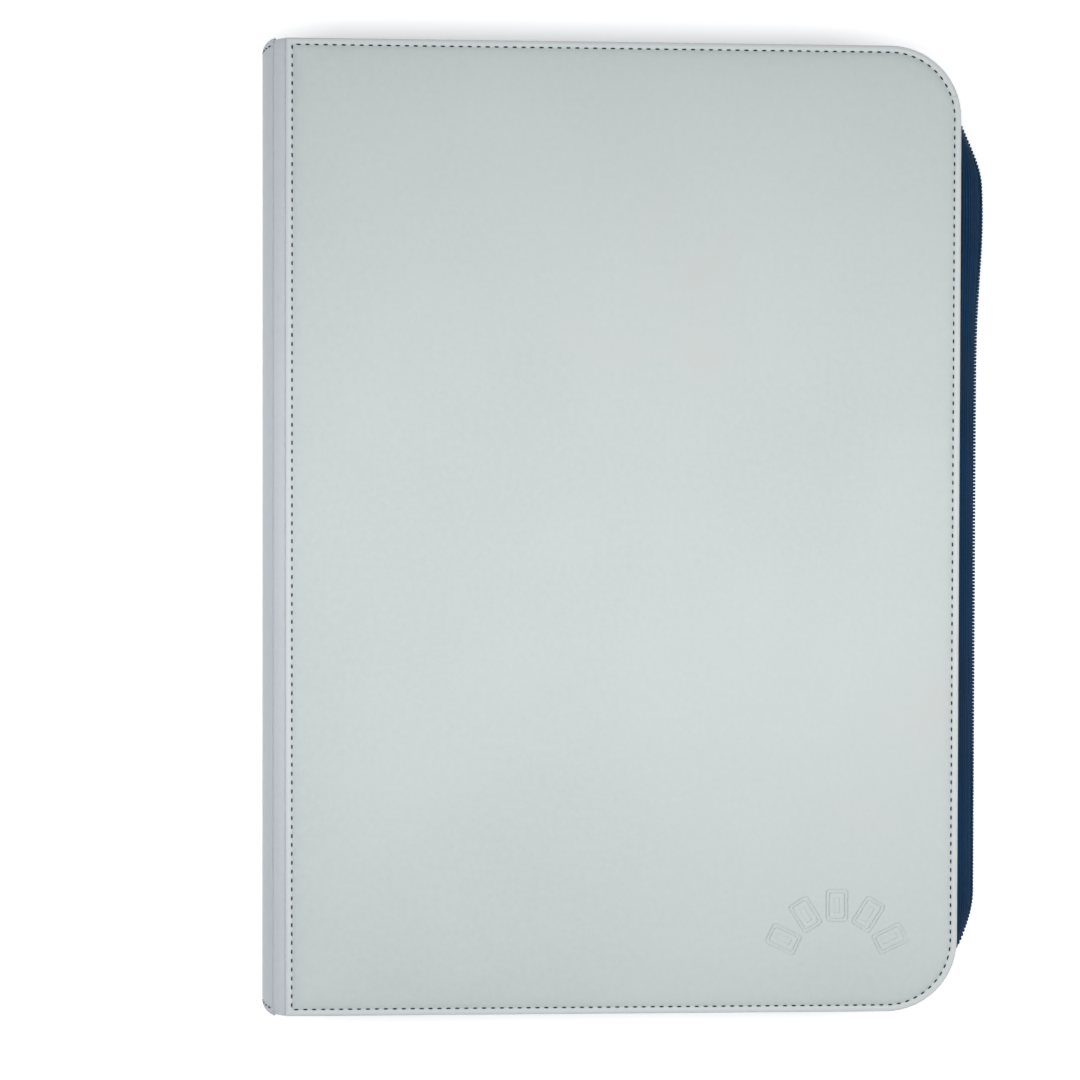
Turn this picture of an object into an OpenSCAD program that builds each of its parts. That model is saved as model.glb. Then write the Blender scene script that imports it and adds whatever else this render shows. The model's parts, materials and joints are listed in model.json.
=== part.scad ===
// Zip-up trading card binder, closed and lying on its back cover.
// X runs from the spine to the fore-edge, Y from foot to head, Z up.
// The origin is at the middle of the whole object's base.

/* [Covers] */
// Width of a cover, from the crease to the fore-edge
cover_w = 243; // [241:1:246]
// Height of a cover, from foot to head
cover_h = 350; // [346:1:356]
// Radius of the two fore-edge corners
corner_r = 26; // [22:1:32]
// Thickness of the skin
skin_t = 0.8; // [0.6:0.1:0.9]
// Thickness of the foam padding in a cover
foam_t = 1.4; // [1:0.1:1.5]
// Thickness of the board in a cover
board_t = 1.4; // [1:0.1:1.5]
// Thickness of a lining
lining_t = 0.4; // [0.3:0.1:0.5]
// Height of the closed binder
total_t = 38; // [37:1:42]

/* [Spine] */
// How far the spine bulges out past the crease
spine_out = 11; // [11:0.5:13]
// How far each fold line lies outside the crease
fold_back = 2; // [2:0.1:2.4]
// How far the spine skin stays clear of the binder's top and bottom
spine_clear = 2.5; // [2.3:0.1:3]

/* [Gusset and zip] */
// How far inside the cover's edge the gusset is sewn
root_inset = 2.6; // [2.4:0.1:3]
// Thickness of the gusset fabric
fabric_t = 0.8; // [0.6:0.1:0.9]
// How far inside the cover's edge the zip runs along the head and the foot
end_inset = 1.2; // [0:0.1:1.2]
// Bulge of the gusset along the fore-edge
side_bulge = 9.2; // [6:0.2:11]
// Extra bulge near the head corner
head_bulge = 2.2; // [0:0.2:3]
// Height of one row of zip coil
coil_w = 2.4; // [2:0.1:2.6]
// Gap between the two rows of coil
coil_gap = 1.2; // [1.2:0.1:1.4]
// Length of the slider
slider_l = 11; // [9:0.5:13]
// Width of the slider
slider_w = 8; // [7:0.5:8.5]
// Length of the rubber grip on the pull
grip_l = 18; // [12:1:24]

/* [Leaves] */
// Number of leaves: an even number, half on each cover
leaves = 12; // [12]
// Distance from one leaf to the next in the closed binder
leaf_pitch = 2.4; // [2.2:0.05:2.4]
// Distance from one leaf to the next in the open binder
leaf_step = 1.1; // [1.1:0.02:1.2]
// Width of one column of pockets, weld to weld
column_pitch = 75.7; // [70:0.1:76]
// Height of one row of pockets, weld to weld
row_pitch = 97.8; // [92:0.1:98]
// Thickness of the dark backing sheet
sheet_t = 0.34; // [0.3:0.02:0.36]
// Thickness of the clear film on each face
film_t = 0.25; // [0.2:0.01:0.25]

/* [Hidden] */
$fn = 96;

skin_colour = [0.77, 0.80, 0.81];
foam_colour = [0.92, 0.91, 0.86];
board_colour = [0.62, 0.55, 0.45];
lining_colour = [0.07, 0.09, 0.14];
gusset_colour = [0.06, 0.17, 0.31];
coil_colour = [0.10, 0.22, 0.36];
metal_colour = [0.55, 0.56, 0.58];
rubber_colour = [0.05, 0.05, 0.06];
sheet_colour = [0.13, 0.13, 0.14];
film_colour = [0.75, 0.80, 0.85, 0.35];

// Levels up the stack of a cover, from its outer face
cover_t = skin_t + foam_t + board_t + lining_t;
foam_z = skin_t;
board_z = foam_z + foam_t;
lining_z = board_z + board_t;
mid_z = total_t / 2;
half_h = cover_h / 2;
// The board and foam keep clear of the crease
board_clear = 2;

// The spine is an arc through its apex and the two points where it would meet the fold lines
spine_rise = spine_out - fold_back;
spine_half = mid_z - 0.3;
spine_r = (spine_half * spine_half + spine_rise * spine_rise) / (2 * spine_rise);
spine_cx = spine_r - spine_out;
spine_board_x = -fold_back - 2.8;
spine_board_clear = 4.6;
spine_board_l = cover_h - 6;
spine_lining_x = spine_board_x + board_t;
binding_x = spine_lining_x + lining_t;
binding_z = 5;

// Gusset and coil
gusset_rows = 8;
coil_bottom = mid_z - coil_gap / 2 - coil_w;
coil_in = 1.1;
coil_out = 0.9;
run_start = 10;
corner_x = cover_w - corner_r;
corner_y = half_h - corner_r;
run_steps = 4;
corner_steps = 8;
edge_steps = 30;
// Along Y: where the bulge starts and how fast it grows, and the extra bulge's place and spread
head_fade_y = 168;
foot_fade_y = -175;
fade_l = 40;
head_bulge_y = 116;
head_bulge_spread = 30;

// Slider, with its middle at slider_x, on the head run
slider_x = 18;
plate_t = 0.8;
zip_y = half_h - end_inset;
outer_plate_y = zip_y + 1.2;
inner_plate_y = zip_y - 2.4;
post_l = 2;
post_w = 0.6;
pin_y = zip_y + 3.4;
pin_r = 0.5;
pin_hole_r = 0.7;
eye_r = 1.1;
eye_w = 2.6;
lug_r = 1;
lug_gap = 3.2;
lug_t = 0.8;
link_t = 1;
link_l = 7;
grip_t = 2;
grip_r = 2;
stop_l = 1.6;
tab_reach = 8;
tab_h = 12;
tab_y = spine_board_l / 2 - 0.5;

// Leaves
binding_strip = 3;
weld_w = 2.4;
leaf_w = binding_strip + 3 * column_pitch;
leaf_h = 3 * row_pitch + 4.6;
fin_gap = 0.8;
fin_t = 0.6;
first_hinge = 2;

// Smooth step from 0 to 1
function ease(t) = let(u = min(1, max(0, t))) u * u * (3 - 2 * u);

// How far the zip stands out past the cover's edge, at height y along the fore-edge
function bulge(y) =
    ease((head_fade_y - y) / fade_l) * ease((y - foot_fade_y) / fade_l)
    * (end_inset + side_bulge + head_bulge * exp(-pow((y - head_bulge_y) / head_bulge_spread, 2)))
    - end_inset;

// How far the gusset stands out, for a share t of its way from the cover to the zip
function gusset_out(b, t) = -root_inset + (b + root_inset) * (1 - (1 - t) * (1 - t));

// The zip's way round the cover: x, y and the angle of the outward direction
zip_path = concat(
    [for (i = [0 : run_steps - 1])
        [run_start + (corner_x - run_start) * i / run_steps, half_h, 90]],
    [for (i = [0 : corner_steps - 1]) let (a = 90 - 90 * i / corner_steps)
        [corner_x + corner_r * cos(a), corner_y + corner_r * sin(a), a]],
    [for (i = [0 : edge_steps - 1])
        [cover_w, corner_y * (1 - 2 * i / edge_steps), 0]],
    [for (i = [0 : corner_steps - 1]) let (a = -90 * i / corner_steps)
        [corner_x + corner_r * cos(a), -corner_y + corner_r * sin(a), a]],
    [for (i = [0 : run_steps])
        [corner_x - (corner_x - run_start) * i / run_steps, -half_h, -90]]);

// The whole object's middle
mid_x = (cover_w + max([for (p = zip_path) bulge(p[1])]) + coil_out - spine_out) / 2;
mid_y = (pin_y + eye_r - half_h) / 2;

// A point at a station of the zip's way, out by d and up at z
function station(p, d, z) = [p[0] + d * cos(p[2]), p[1] + d * sin(p[2]), z];

function leaf_z(k) = mid_z + leaf_pitch * (k - (leaves + 1) / 2);
function leaf_hinge(k) = first_hinge + leaf_step * min(k, leaves + 1 - k);
function leaf_x(k) = leaf_hinge(k) - fold_back;

// Puts a sub-part in the whole object's frame
module placed() { translate([-mid_x, -mid_y, 0]) children(); }

// Turns a back cover's part into the front cover's
module flipped() { translate([0, 0, total_t]) mirror([0, 0, 1]) children(); }

// A closed solid through rings of points
module swept(rings) {
    n = len(rings);
    m = len(rings[0]);
    polyhedron(
        points = [for (r = rings) each r],
        faces = concat(
            [for (i = [0 : n - 2]) for (j = [0 : m - 1])
                [i * m + j, i * m + (j + 1) % m, (i + 1) * m + (j + 1) % m]],
            [for (i = [0 : n - 2]) for (j = [0 : m - 1])
                [i * m + j, (i + 1) * m + (j + 1) % m, (i + 1) * m + j]],
            [[for (j = [m - 1 : -1 : 0]) j]],
            [[for (j = [0 : m - 1]) (n - 1) * m + j]]));
}

// Outline of a cover, smaller all round by inset, from x = start
module cover_outline(start = 0, inset = 0) {
    r = corner_r - inset;
    h = cover_h - 2 * inset;
    translate([start, -h / 2]) square([corner_x - start, h]);
    translate([corner_x - 1, -corner_y]) square([r + 1, 2 * corner_y]);
    for (s = [-1, 1]) translate([corner_x, s * corner_y]) circle(r);
}

module cover_layer(z, t, start) {
    placed() translate([0, 0, z]) linear_extrude(t) cover_outline(start, skin_t);
}

// The skin is a tray: the outer face and the rim turned in round three sides
module cover_skin() {
    placed() difference() {
        linear_extrude(cover_t) cover_outline();
        translate([0, 0, skin_t]) linear_extrude(cover_t) cover_outline(-1, skin_t);
    }
}

// Half the gusset, from the back cover's edge up to the coil
module gusset_half() {
    rows = [for (i = [0 : gusset_rows]) i / gusset_rows];
    top = coil_bottom - cover_t;
    height = mid_z - cover_t;
    placed() swept([for (p = zip_path) let (b = bulge(p[1])) concat(
        [for (u = rows) station(p, gusset_out(b, u * top / height), cover_t + u * top)],
        [for (i = [gusset_rows : -1 : 0]) let (u = rows[i])
            station(p, gusset_out(b, u * top / height) - fabric_t, cover_t + u * top)])]);
}

// One row of coil, as a plain rail
module coil_half() {
    placed() swept([for (p = zip_path) let (b = bulge(p[1])) [
        station(p, b + coil_out, coil_bottom),
        station(p, b + coil_out, coil_bottom + coil_w),
        station(p, b - coil_in, coil_bottom + coil_w),
        station(p, b - coil_in, coil_bottom)]]);
}

module back_cover_skin() { color(skin_colour) cover_skin(); }

module back_cover_foam() { color(foam_colour) cover_layer(foam_z, foam_t, board_clear); }

module back_cover_board() { color(board_colour) cover_layer(board_z, board_t, board_clear); }

module back_cover_lining() { color(lining_colour) cover_layer(lining_z, lining_t, 0); }

module gusset_lower() { color(gusset_colour) gusset_half(); }

module zip_coil_lower() { color(coil_colour) coil_half(); }

// A clip on the outside of the lower coil at each end of the zip
module zip_end_stops() {
    color(metal_colour) placed() for (s = [0, 1]) mirror([0, s, 0])
        translate([run_start, zip_y + coil_out, coil_bottom - 0.2])
            cube([stop_l, 0.5, coil_w + 0.2]);
}

module front_cover_skin() { color(skin_colour) flipped() cover_skin(); }

module front_cover_foam() {
    color(foam_colour) flipped() cover_layer(foam_z, foam_t, board_clear);
}

module front_cover_board() {
    color(board_colour) flipped() cover_layer(board_z, board_t, board_clear);
}

module front_cover_lining() {
    color(lining_colour) flipped() cover_layer(lining_z, lining_t, 0);
}

module gusset_upper() { color(gusset_colour) flipped() gusset_half(); }

module zip_coil_upper() { color(coil_colour) flipped() coil_half(); }

// Runs a section drawn in X and Z along the binder's height
module along_y(length) {
    placed() translate([0, length / 2, 0]) rotate([90, 0, 0]) linear_extrude(length) children();
}

// The part of the spine's disc of radius r that lies outside x = limit
module spine_segment(r, limit) {
    intersection() {
        translate([spine_cx, mid_z]) circle(r, $fn = 180);
        translate([-2 * spine_out, spine_clear])
            square([2 * spine_out + limit, total_t - 2 * spine_clear]);
    }
}

module spine_skin() {
    color(skin_colour) along_y(cover_h) difference() {
        spine_segment(spine_r, -fold_back);
        spine_segment_core();
    }
}

// What the spine skin goes round, open past both of its edges
module spine_segment_core() {
    translate([spine_cx, mid_z]) circle(spine_r - skin_t, $fn = 180);
}

module spine_padding() {
    color(foam_colour) along_y(spine_board_l)
        spine_segment(spine_r - skin_t, spine_board_x);
}

// A flat strip up the inside of the spine
module spine_strip(x, t, clear, length) {
    placed() translate([x, -length / 2, clear]) cube([t, length, total_t - 2 * clear]);
}

module spine_board() {
    color(board_colour) spine_strip(spine_board_x, board_t, spine_board_clear, spine_board_l);
}

module spine_lining() {
    color(lining_colour) spine_strip(spine_lining_x, lining_t, spine_board_clear, spine_board_l);
}

// The block that the leaves' margins are sewn to, with one margin for each leaf
module binding_block() {
    color(lining_colour) {
        spine_strip(binding_x, -fold_back - binding_x, binding_z, leaf_h);
        for (k = [1 : leaves])
            placed() translate([-fold_back, -leaf_h / 2, leaf_z(k) - fin_t / 2])
                cube([leaf_hinge(k) - fin_gap, leaf_h, fin_t]);
    }
}

// Fabric tabs that cover the two ends of the zip
module zip_end_tabs() {
    color(gusset_colour) placed() for (s = [0, 1]) mirror([0, s, 0])
        translate([binding_x, tab_y, mid_z - tab_h / 2]) cube([tab_reach - binding_x, 1, tab_h]);
}

// The skin between the spine's edge and the back cover
module crease_strip() {
    outer = spine_cx - sqrt(pow(spine_r, 2) - pow(mid_z - spine_clear, 2));
    inner = spine_cx - sqrt(pow(spine_r - skin_t, 2) - pow(mid_z - spine_clear, 2));
    along_y(cover_h) polygon([
        [outer, spine_clear], [-1.4, 0], [0, 0], [0, skin_t], [-1, skin_t], [inner, spine_clear]]);
}

module back_crease() { color(skin_colour) crease_strip(); }

module front_crease() { color(skin_colour) flipped() crease_strip(); }

// Two plates joined by a post between the rows of coil, and two lugs for the pull's pin
module slider_body() {
    color(metal_colour) placed() {
        for (y = [inner_plate_y, outer_plate_y])
            translate([slider_x - slider_l / 2, y, mid_z - slider_w / 2])
                cube([slider_l, plate_t, slider_w]);
        translate([slider_x - slider_l / 2 + 1, inner_plate_y + plate_t, mid_z - post_w / 2])
            cube([post_l, outer_plate_y - inner_plate_y - plate_t, post_w]);
        for (s = [-1, 1])
            translate([slider_x, 0, mid_z + s * (lug_gap + lug_t) / 2 - lug_t / 2])
                difference() {
                    union() {
                        translate([0, pin_y, 0]) cylinder(r = lug_r, h = lug_t);
                        translate([-lug_r, outer_plate_y + plate_t, 0])
                            cube([2 * lug_r, pin_y - outer_plate_y - plate_t, lug_t]);
                    }
                    translate([0, pin_y, -1]) cylinder(r = pin_r, h = lug_t + 2);
                }
    }
}

module slider_pin() {
    pin_l = lug_gap + 2 * lug_t;
    color(metal_colour) placed() translate([slider_x, pin_y, mid_z - pin_l / 2])
        cylinder(r = pin_r, h = pin_l);
}

// An eye round the pin, and a tongue into the grip
module pull_link() {
    color(metal_colour) placed() difference() {
        union() {
            translate([slider_x, pin_y, mid_z - eye_w / 2]) cylinder(r = eye_r, h = eye_w);
            translate([slider_x, pin_y - link_t / 2, mid_z - eye_w / 2])
                cube([link_l, link_t, eye_w]);
        }
        translate([slider_x, pin_y, mid_z - eye_w]) cylinder(r = pin_hole_r, h = 2 * eye_w);
    }
}

module pull_grip() {
    color(rubber_colour) placed()
        translate([slider_x + link_l, pin_y + grip_t / 2, mid_z - slider_w / 2])
            rotate([90, 0, 0]) linear_extrude(grip_t) grip_outline();
}

// A strip with its four corners rounded
module grip_outline() {
    translate([grip_r, 0]) square([grip_l - 2 * grip_r, slider_w]);
    translate([0, grip_r]) square([grip_l, slider_w - 2 * grip_r]);
    for (x = [grip_r, grip_l - grip_r]) for (y = [grip_r, slider_w - grip_r])
        translate([x, y]) circle(grip_r, $fn = 32);
}

module leaf_sheet(k) {
    color(sheet_colour) placed() translate([leaf_x(k), -leaf_h / 2, leaf_z(k) - sheet_t / 2])
        cube([leaf_w, leaf_h, sheet_t]);
}

// Three columns of clear film on each face of a leaf
module leaf_pockets(k) {
    color(film_colour) placed()
        for (i = [0 : 2]) for (z = [leaf_z(k) - sheet_t / 2 - film_t, leaf_z(k) + sheet_t / 2])
            translate([
                leaf_x(k) + binding_strip + weld_w / 2 + i * column_pitch, -leaf_h / 2, z])
                cube([column_pitch - weld_w, leaf_h, film_t]);
}

back_cover_skin();
back_cover_foam();
back_cover_board();
back_cover_lining();
gusset_lower();
zip_coil_lower();
zip_end_stops();
front_cover_skin();
front_cover_foam();
front_cover_board();
front_cover_lining();
gusset_upper();
zip_coil_upper();
spine_skin();
spine_padding();
spine_board();
spine_lining();
binding_block();
zip_end_tabs();
back_crease();
front_crease();
slider_body();
slider_pin();
pull_link();
pull_grip();
leaf_sheet(1);  // leaf_01_sheet
leaf_sheet(2);  // leaf_02_sheet
leaf_sheet(3);  // leaf_03_sheet
leaf_sheet(4);  // leaf_04_sheet
leaf_sheet(5);  // leaf_05_sheet
leaf_sheet(6);  // leaf_06_sheet
leaf_sheet(7);  // leaf_07_sheet
leaf_sheet(8);  // leaf_08_sheet
leaf_sheet(9);  // leaf_09_sheet
leaf_sheet(10);  // leaf_10_sheet
leaf_sheet(11);  // leaf_11_sheet
leaf_sheet(12);  // leaf_12_sheet
leaf_pockets(1);  // leaf_01_pockets
leaf_pockets(2);  // leaf_02_pockets
leaf_pockets(3);  // leaf_03_pockets
leaf_pockets(4);  // leaf_04_pockets
leaf_pockets(5);  // leaf_05_pockets
leaf_pockets(6);  // leaf_06_pockets
leaf_pockets(7);  // leaf_07_pockets
leaf_pockets(8);  // leaf_08_pockets
leaf_pockets(9);  // leaf_09_pockets
leaf_pockets(10);  // leaf_10_pockets
leaf_pockets(11);  // leaf_11_pockets
leaf_pockets(12);  // leaf_12_pockets
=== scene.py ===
"""Zip-up trading card binder: the looks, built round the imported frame. Lengths are in metres."""

import json
import math

import bpy
import numpy as np
from mathutils import Matrix, Vector

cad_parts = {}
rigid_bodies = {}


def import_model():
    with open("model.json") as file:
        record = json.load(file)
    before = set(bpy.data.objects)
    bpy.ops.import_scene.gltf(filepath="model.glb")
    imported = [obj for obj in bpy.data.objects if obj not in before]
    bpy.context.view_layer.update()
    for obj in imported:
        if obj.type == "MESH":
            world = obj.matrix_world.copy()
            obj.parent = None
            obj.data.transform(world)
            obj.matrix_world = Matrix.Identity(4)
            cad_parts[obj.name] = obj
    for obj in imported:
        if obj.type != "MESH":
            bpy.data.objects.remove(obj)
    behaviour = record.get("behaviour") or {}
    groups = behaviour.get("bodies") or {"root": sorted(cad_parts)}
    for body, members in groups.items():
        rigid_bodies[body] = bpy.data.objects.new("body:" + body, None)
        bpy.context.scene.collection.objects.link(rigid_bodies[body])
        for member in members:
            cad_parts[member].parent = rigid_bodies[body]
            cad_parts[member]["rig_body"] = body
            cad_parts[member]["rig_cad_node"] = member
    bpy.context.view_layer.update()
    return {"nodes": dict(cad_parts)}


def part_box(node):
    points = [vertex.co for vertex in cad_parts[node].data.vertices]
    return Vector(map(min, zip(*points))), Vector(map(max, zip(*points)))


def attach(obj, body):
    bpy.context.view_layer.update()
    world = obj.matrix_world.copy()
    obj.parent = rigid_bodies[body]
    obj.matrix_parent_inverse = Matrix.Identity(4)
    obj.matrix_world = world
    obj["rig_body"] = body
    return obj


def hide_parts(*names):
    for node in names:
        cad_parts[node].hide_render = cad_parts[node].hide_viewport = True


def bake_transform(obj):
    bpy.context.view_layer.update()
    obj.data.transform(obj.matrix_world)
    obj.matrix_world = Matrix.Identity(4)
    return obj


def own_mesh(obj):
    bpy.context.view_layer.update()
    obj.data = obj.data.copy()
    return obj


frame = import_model()

MM = 0.001

# Places in the frame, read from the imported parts
COVER_LOW, COVER_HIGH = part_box("back_cover_skin")
CREASE_X, EDGE_X = COVER_LOW.x, COVER_HIGH.x
FOOT_Y, HEAD_Y = COVER_LOW.y, COVER_HIGH.y
COVER_T = COVER_HIGH.z
MIDDLE_Y = (FOOT_Y + HEAD_Y) / 2
TOP_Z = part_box("front_cover_skin")[1].z
MID_Z = TOP_Z / 2
SPINE_LOW, SPINE_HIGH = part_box("spine_skin")
BOARD_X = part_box("spine_board")[0].x

# Sizes shared by several pieces
CORNER_R = 26 * MM
SKIN_T = 0.8 * MM
STITCH_INSET = 2.6 * MM
STITCH_PITCH = 3.2 * MM
STITCH_SIZE = (0.85 * MM, 0.29 * MM, 0.26 * MM)
CORNER_STEPS = 14


# ---------------------------------------------------------------- modelling helpers


def deselect():
    bpy.ops.object.select_all(action="DESELECT")


def pick(piece):
    """Makes piece the only selected and the active object."""
    deselect()
    piece.select_set(True)
    bpy.context.view_layer.objects.active = piece


def settle(piece):
    """Puts the piece's place, turn and scale into its mesh."""
    pick(piece)
    bpy.ops.object.transform_apply(location=True, rotation=True, scale=True)
    return piece


def named(name):
    """Names the active object and its mesh."""
    piece = bpy.context.active_object
    piece.name = piece.data.name = name
    return piece


def modify(piece, kind, **settings):
    """Adds a modifier and applies it."""
    pick(piece)
    modifier = piece.modifiers.new(kind.lower(), kind)
    for key, value in settings.items():
        setattr(modifier, key, value)
    bpy.ops.object.modifier_apply(modifier=modifier.name)
    return piece


def smooth(piece, angle=35):
    pick(piece)
    bpy.ops.object.shade_smooth_by_angle(angle=math.radians(angle))
    return piece


def plane(name, low, high, z):
    """A flat rectangle from low to high, in X and Y, at height z."""
    bpy.ops.mesh.primitive_plane_add(
        size=1, location=((low[0] + high[0]) / 2, (low[1] + high[1]) / 2, z)
    )
    piece = named(name)
    piece.scale = (high[0] - low[0], high[1] - low[1], 1)
    return settle(piece)


def open_mesh(piece, kind="FACE", action="SELECT"):
    """Opens the piece in edit mode, with all of its faces or points selected, or none."""
    pick(piece)
    bpy.ops.object.mode_set(mode="EDIT")
    bpy.ops.mesh.select_mode(type=kind)
    bpy.ops.mesh.select_all(action=action)


def close_mesh():
    bpy.ops.object.mode_set(mode="OBJECT")


def open_where(piece, kind, test):
    """Opens the piece in edit mode, with the faces or points that pass the test selected."""
    open_mesh(piece, kind, "DESELECT")
    close_mesh()
    for element in piece.data.vertices if kind == "VERT" else piece.data.polygons:
        element.select = bool(test(element))
    bpy.ops.object.mode_set(mode="EDIT")


def extrude(x, y, z):
    """Extrudes what is selected."""
    bpy.ops.mesh.extrude_region_move(TRANSFORM_OT_translate={"value": (x, y, z)})


def round_corners(piece, test, radius, steps):
    """Rounds the flat piece's corners whose place passes the test."""
    open_where(piece, "VERT", lambda v: test(v.co))
    bpy.ops.mesh.bevel(offset=radius, offset_type="OFFSET", segments=steps, affect="VERTICES")
    close_mesh()


def bent_grid(name, columns, rows, place):
    """A grid primitive whose point (u, v), each from 0 to 1, is put at place(u, v)."""
    bpy.ops.mesh.primitive_grid_add(x_subdivisions=columns, y_subdivisions=rows, size=2)
    piece = named(name)
    for vertex in piece.data.vertices:
        vertex.co = place((vertex.co.x + 1) / 2, (vertex.co.y + 1) / 2)
    return piece


def face_out(piece):
    """Points a closed shape's faces outwards."""
    open_mesh(piece)
    bpy.ops.mesh.normals_make_consistent(inside=False)
    close_mesh()
    return piece


def flip_faces(piece):
    open_mesh(piece)
    bpy.ops.mesh.flip_normals()
    close_mesh()


def face_along(piece, *direction):
    """Flips an open sheet's faces if they point against the direction."""
    if sum(p.normal.dot(direction) for p in piece.data.polygons) < 0:
        flip_faces(piece)


def copy_of(piece, name, matrix):
    """A copy with its own mesh, moved by the matrix."""
    twin = piece.copy()
    twin.data = piece.data.copy()
    twin.name = twin.data.name = name
    bpy.context.scene.collection.objects.link(twin)
    twin.data.transform(matrix)
    if matrix.determinant() < 0:
        flip_faces(twin)
    return twin


def turned_over(piece, name):
    """The piece mirrored from one cover to the other."""
    return copy_of(piece, name, Matrix.Translation((0, 0, TOP_Z)) @ Matrix.Scale(-1, 4, (0, 0, 1)))


def repeated(prototype, name, places):
    """One mesh of the prototype copied to each place, a 4 by 4 matrix, and the prototype removed."""
    mesh = prototype.data
    points = np.array([v.co for v in mesh.vertices], float)
    faces = [tuple(p.vertices) for p in mesh.polygons]
    count = len(points)
    all_points, all_faces = [], []
    for i, matrix in enumerate(places):
        m = np.array(matrix, float)
        all_points.extend((points @ m[:3, :3].T + m[:3, 3]).tolist())
        all_faces.extend(tuple(v + i * count for v in f) for f in faces)
    data = bpy.data.meshes.new(name)
    data.from_pydata(all_points, [], all_faces)
    piece = bpy.data.objects.new(name, data)
    bpy.context.scene.collection.objects.link(piece)
    bpy.data.objects.remove(prototype)
    return smooth(piece, 60)


def joined(name, pieces):
    """The pieces as one."""
    deselect()
    for piece in pieces:
        piece.select_set(True)
    bpy.context.view_layer.objects.active = pieces[0]
    bpy.ops.object.join()
    return named(name)


def softened(node, name, width, segments=2):
    """A copy of a CAD node with its edges rounded, which stands for the node."""
    source = frame["nodes"][node]
    piece = source.copy()
    piece.data = source.data.copy()
    piece.name = piece.data.name = name
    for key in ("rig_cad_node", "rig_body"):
        if key in piece:
            del piece[key]
    piece.parent = None
    bpy.context.scene.collection.objects.link(piece)
    open_mesh(piece)
    bpy.ops.mesh.remove_doubles(threshold=0.01 * MM)
    bpy.ops.mesh.dissolve_limited(angle_limit=math.radians(2))
    close_mesh()
    modify(
        piece, "BEVEL",
        width=width, segments=segments, limit_method="ANGLE", angle_limit=math.radians(40))
    smooth(piece, 40)
    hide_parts(node)
    return piece


# ---------------------------------------------------------------- shader helpers


class Value:
    """A shader socket that takes part in sums."""

    def __init__(self, finish, socket):
        self.finish = finish
        self.socket = socket

    def maths(self, operation, other):
        return self.finish.node("ShaderNodeMath", {"operation": operation}, {0: self, 1: other})

    def __add__(self, other):
        return self.maths("ADD", other)

    def __mul__(self, other):
        return self.maths("MULTIPLY", other)

    __radd__ = __add__
    __rmul__ = __mul__


class Finish:
    """A procedural material under construction."""

    def __init__(self, name, roughness, **settings):
        self.material = bpy.data.materials.new(name)
        self.material.use_nodes = True
        self.tree = self.material.node_tree
        self.shader = self.tree.nodes["Principled BSDF"]
        self.shader.inputs["Roughness"].default_value = roughness
        for key, value in settings.items():
            self.shader.inputs[key.replace("_", " ")].default_value = value
        self.place = self.node("ShaderNodeTexCoord", {}, {}, "Object")

    def node(self, kind, settings, inputs, output=0):
        """Adds a node, sets it up and returns one of its outputs."""
        node = self.tree.nodes.new(kind)
        for key, value in settings.items():
            if key == "stops":
                self.set_stops(node.color_ramp, value)
            else:
                setattr(node, key, value)
        for key, value in inputs.items():
            if isinstance(value, Value):
                self.tree.links.new(value.socket, node.inputs[key])
            else:
                node.inputs[key].default_value = value
        return Value(self, node.outputs[output])

    @staticmethod
    def set_stops(ramp, stops):
        while len(ramp.elements) < len(stops):
            ramp.elements.new(0.5)
        for element, (position, colour) in zip(ramp.elements, stops):
            element.position = position
            element.color = (*colour, 1)

    def noise(self, scale, detail=3, roughness=0.5):
        return self.node(
            "ShaderNodeTexNoise", {},
            {"Vector": self.place, "Scale": scale, "Detail": detail, "Roughness": roughness},
        )

    def cells(self, scale):
        return self.node(
            "ShaderNodeTexVoronoi", {}, {"Vector": self.place, "Scale": scale, "Randomness": 1}, "Distance"
        )

    def ribs(self, scale, direction, distortion=0.0):
        return self.node(
            "ShaderNodeTexWave", {"bands_direction": direction},
            {"Vector": self.place, "Scale": scale, "Distortion": distortion}, "Fac",
        )

    def ramp(self, factor, stops):
        return self.node("ShaderNodeValToRGB", {"stops": stops}, {"Fac": factor}, "Color")

    def mix_colour(self, factor, pattern, colour):
        """The pattern, with the plain colour over it where the factor is high."""
        factor_input, pattern_input, colour_input, colour_output = 0, 6, 7, 2
        inputs = {factor_input: factor, pattern_input: pattern, colour_input: (*colour, 1)}
        return self.node("ShaderNodeMix", {"data_type": "RGBA"}, inputs, colour_output)

    def bump(self, height, strength, distance):
        """Feeds a bump to the normal and returns the finish, since it is the last thing made."""
        normal = self.node(
            "ShaderNodeBump", {}, {"Height": height, "Strength": strength, "Distance": distance}, "Normal"
        )
        self.feed("Normal", normal)
        return self

    def feed(self, name, value):
        self.tree.links.new(value.socket, self.shader.inputs[name])

    def coat(self, *pieces):
        """Gives the pieces this material."""
        for piece in pieces:
            piece.data.materials.clear()
            piece.data.materials.append(self.material)


# ---------------------------------------------------------------- materials


def tinted(colour, tint):
    return [c * t for c, t in zip(colour, tint)]


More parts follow.
